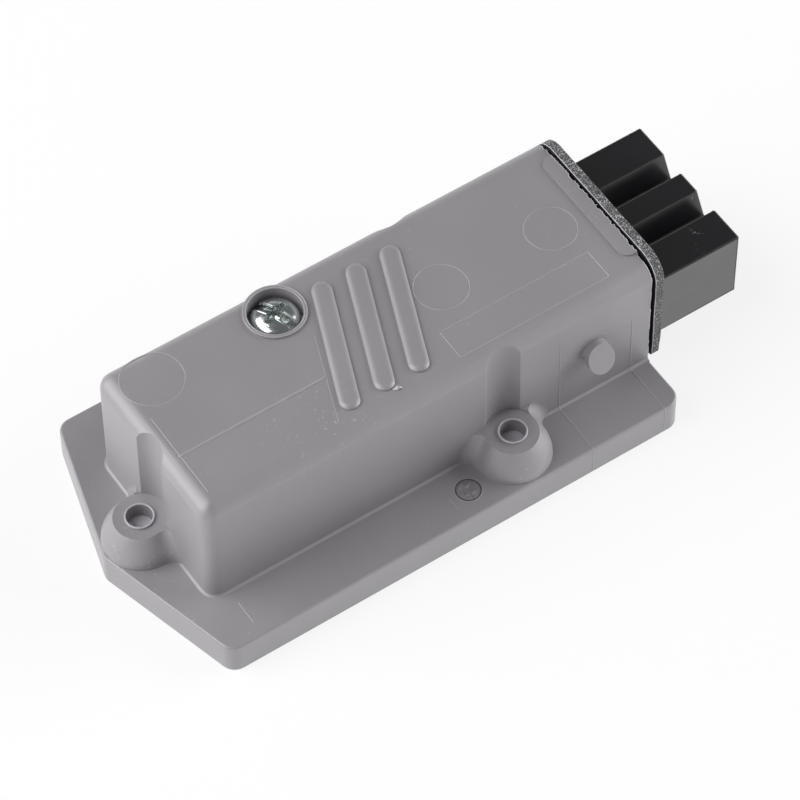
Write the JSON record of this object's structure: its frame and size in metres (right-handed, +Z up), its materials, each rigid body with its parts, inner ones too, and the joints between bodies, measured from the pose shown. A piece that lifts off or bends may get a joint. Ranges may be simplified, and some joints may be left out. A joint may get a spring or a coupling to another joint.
{
  "type": "panel mount power connector",
  "caption": "Surface-mounted power connector: grey moulded hood on a flanged fixing plate, with a black keyed contact insert and rubber face seal at one end.",
  "frame": {"origin": "under the middle of the overall length, on the face of the plate that meets the panel, midway across", "axes": "+X towards the socket end, +Y across, +Z up out of the panel"},
  "size_m": [0.1165, 0.0542, 0.0309],
  "materials": {
    "hood_grey": "satin moulded polyamide, mid grey",
    "carrier_black": "satin moulded polyamide, black",
    "seal_black": "matt closed-cell rubber, speckled",
    "brass": "plain stamped",
    "spring_steel": "plain strip",
    "zinc_steel": "bright zinc plated"
  },
  "bodies": {
    "root": {"housing": "hood_grey", "face_seal": "seal_black", "contact_carrier": "carrier_black", "wire_guide_plate": "carrier_black", "carrier_screw": "zinc_steel", "line_contact_1": "brass", "line_contact_2": "brass", "line_contact_3": "brass", "earth_contact": "brass", "line_contact_spring_1": "spring_steel", "line_contact_spring_2": "spring_steel", "line_contact_spring_3": "spring_steel", "earth_contact_spring": "spring_steel", "line_wire_guard_1": "spring_steel", "line_wire_guard_2": "spring_steel", "line_wire_guard_3": "spring_steel", "earth_wire_guard": "spring_steel", "line_terminal_screw_1": "zinc_steel", "line_terminal_screw_2": "zinc_steel", "line_terminal_screw_3": "zinc_steel", "earth_terminal_screw": "zinc_steel"}
  },
  "joints": []
}
